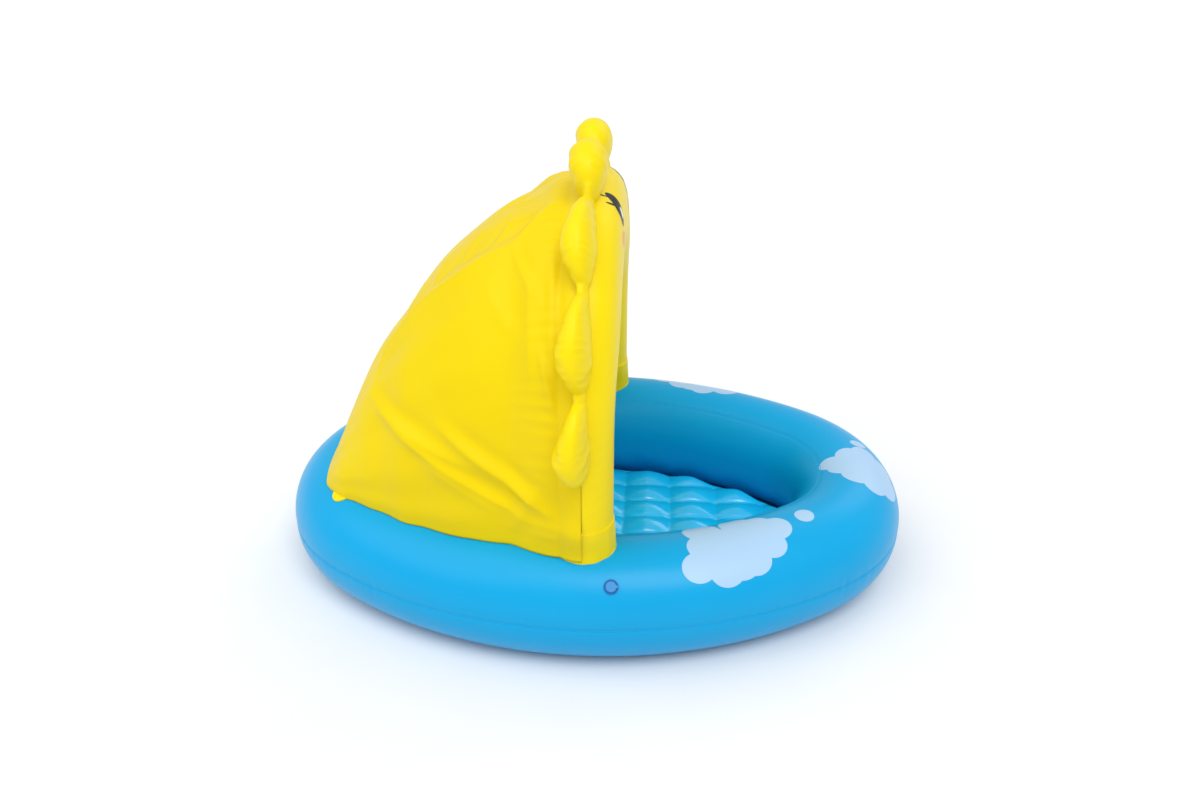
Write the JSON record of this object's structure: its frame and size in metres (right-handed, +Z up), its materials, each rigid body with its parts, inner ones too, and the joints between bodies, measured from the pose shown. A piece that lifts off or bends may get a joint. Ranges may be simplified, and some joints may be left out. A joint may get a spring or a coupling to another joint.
{
  "type": "inflatable paddling pool",
  "caption": "Oval inflatable paddling pool with a bubble floor and a sun-shaped inflated arch that holds a vinyl canopy over its rear half.",
  "frame": {"origin": "middle of the underside, on the ground", "axes": "+X towards the open front, away from the canopy; +Z up; +Y to the left seen from behind the canopy"},
  "size_m": [1.0508, 0.7586, 0.7506],
  "materials": {
    "blue_vinyl": "satin PVC film",
    "floor_vinyl": "satin PVC film",
    "yellow_vinyl": "satin PVC film",
    "canopy_vinyl": "thin satin PVC film",
    "valve_blue": "moulded soft PVC",
    "valve_clear": "clear moulded soft PVC"
  },
  "bodies": {
    "pool": {"ring_upper_sheet": "blue_vinyl", "ring_lower_sheet": "blue_vinyl", "floor_upper_sheet": "floor_vinyl", "floor_lower_sheet": "blue_vinyl", "arch_front_sheet": "yellow_vinyl", "arch_back_sheet": "yellow_vinyl", "arch_foot_cuffs": "yellow_vinyl", "sun_rays": "yellow_vinyl", "canopy": "canopy_vinyl", "canopy_corner_patches": "yellow_vinyl", "ring_valve_seat": "valve_blue", "floor_valve_seat": "valve_blue", "arch_valve_seat": "valve_blue"},
    "ring_valve_tube": {"ring_valve_tube": "valve_clear"},
    "ring_valve_plug": {"ring_valve_plug": "valve_clear"},
    "ring_valve_flap": {"ring_valve_flap": "valve_clear"},
    "floor_valve_tube": {"floor_valve_tube": "valve_clear"},
    "floor_valve_plug": {"floor_valve_plug": "valve_clear"},
    "floor_valve_flap": {"floor_valve_flap": "valve_clear"},
    "arch_valve_tube": {"arch_valve_tube": "valve_clear"},
    "arch_valve_plug": {"arch_valve_plug": "valve_clear"},
    "arch_valve_flap": {"arch_valve_flap": "valve_clear"}
  },
  "joints": [
    {"name": "ring_valve_pull", "type": "slide", "parent": "pool", "child": "ring_valve_tube", "axis": [0.0493, -0.7415, 0.6691], "range_m": [0, 0.012]},
    {"name": "ring_valve_open", "type": "hinge", "parent": "ring_valve_tube", "child": "ring_valve_plug", "pos_m": [0.05358, -0.34331, 0.15719], "axis": [-0.0443, 0.6677, 0.7431], "range_deg": [0, 150]},
    {"name": "ring_valve_check", "type": "hinge", "parent": "ring_valve_tube", "child": "ring_valve_flap", "pos_m": [0.04722, -0.32452, 0.13993], "axis": [0.0443, -0.6677, -0.7431], "range_deg": [0, 30], "stiffness_Nm_per_rad": 0.002},
    {"name": "floor_valve_pull", "type": "slide", "parent": "pool", "child": "floor_valve_tube", "axis": [0, 0, 1], "range_m": [0, 0.012]},
    {"name": "floor_valve_open", "type": "hinge", "parent": "floor_valve_tube", "child": "floor_valve_plug", "pos_m": [-0.2585, 0, 0.0392], "axis": [0, 1, 0], "range_deg": [0, 150]},
    {"name": "floor_valve_check", "type": "hinge", "parent": "floor_valve_tube", "child": "floor_valve_flap", "pos_m": [-0.2636, 0, 0.0134], "axis": [0, -1, 0], "range_deg": [0, 30], "stiffness_Nm_per_rad": 0.002},
    {"name": "arch_valve_pull", "type": "slide", "parent": "pool", "child": "arch_valve_tube", "axis": [-1, 0, 0], "range_m": [0, 0.012]},
    {"name": "arch_valve_open", "type": "hinge", "parent": "arch_valve_tube", "child": "arch_valve_plug", "pos_m": [-0.0497, 0.2775, 0.2715], "axis": [0, 1, 0], "range_deg": [0, 150]},
    {"name": "arch_valve_check", "type": "hinge", "parent": "arch_valve_tube", "child": "arch_valve_flap", "pos_m": [-0.0239, 0.2775, 0.2664], "axis": [0, -1, 0], "range_deg": [0, 30], "stiffness_Nm_per_rad": 0.002}
  ]
}
